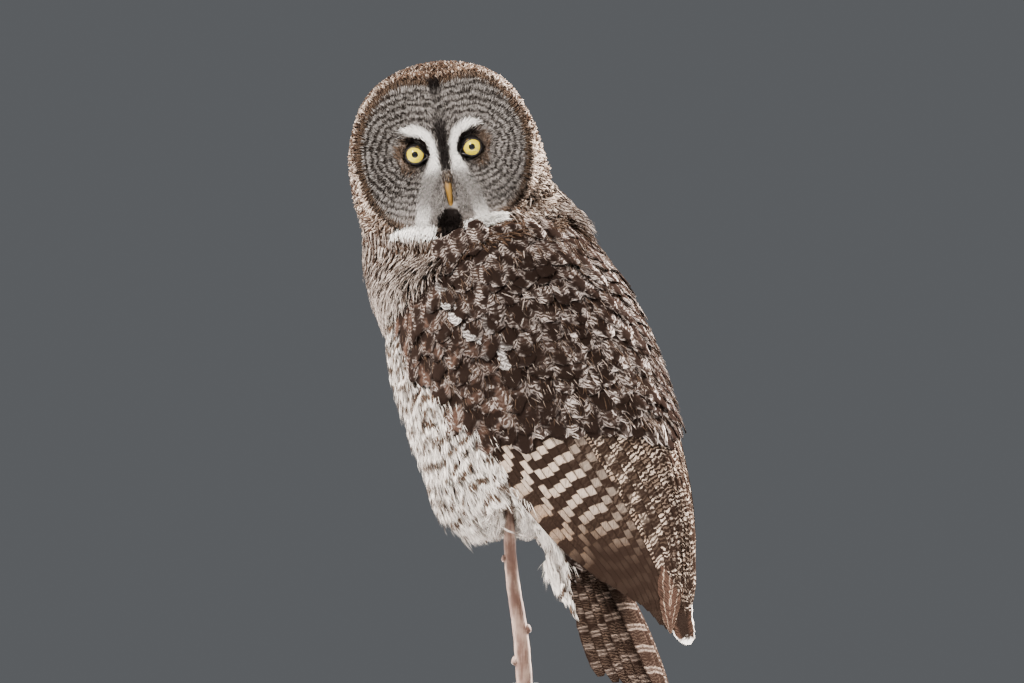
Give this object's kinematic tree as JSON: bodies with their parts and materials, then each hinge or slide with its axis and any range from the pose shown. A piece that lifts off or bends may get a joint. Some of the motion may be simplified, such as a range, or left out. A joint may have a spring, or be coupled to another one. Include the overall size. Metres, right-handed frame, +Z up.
{
  "type": "great grey owl on a display stand",
  "caption": "Life-size great grey owl, head turned over its shoulder, feathered in tiers, gripping the tip of a thin stem on a flat square stand.",
  "frame": {"origin": "centre of the underside of the stand's base", "axes": "+Z up through the bird, -Y the way its face looks; the breast faces left and away, between -X and +Y"},
  "size_m": [0.3448, 0.316, 0.6505],
  "materials": {
    "face_plumage": "matt, soft, ringed grey and dark brown",
    "body_plumage": "matt, soft, brown with pale flecks",
    "flight_feathers": "matt, barred brown and buff",
    "toes": "matt, short feathers, dark horn at the claws",
    "eye": "wet gloss, yellow iris round a black pupil",
    "bill_horn": "satin horn",
    "bark": "thin smooth bark",
    "stand_paint": "satin black",
    "stand_steel": "brushed"
  },
  "bodies": {
    "root": {"head": "face_plumage", "neck": "body_plumage", "torso": "body_plumage", "wing_left": "flight_feathers", "wing_right": "flight_feathers", "tail": "flight_feathers", "leg_left": "body_plumage", "leg_right": "body_plumage", "foot_left": "toes", "foot_right": "toes", "eye_left": "eye", "eye_right": "eye", "bill_upper": "bill_horn", "bill_lower": "bill_horn", "perch_stem": "bark", "stand_base": "stand_paint", "stand_rod": "stand_steel", "stand_collar": "stand_steel"}
  },
  "joints": []
}
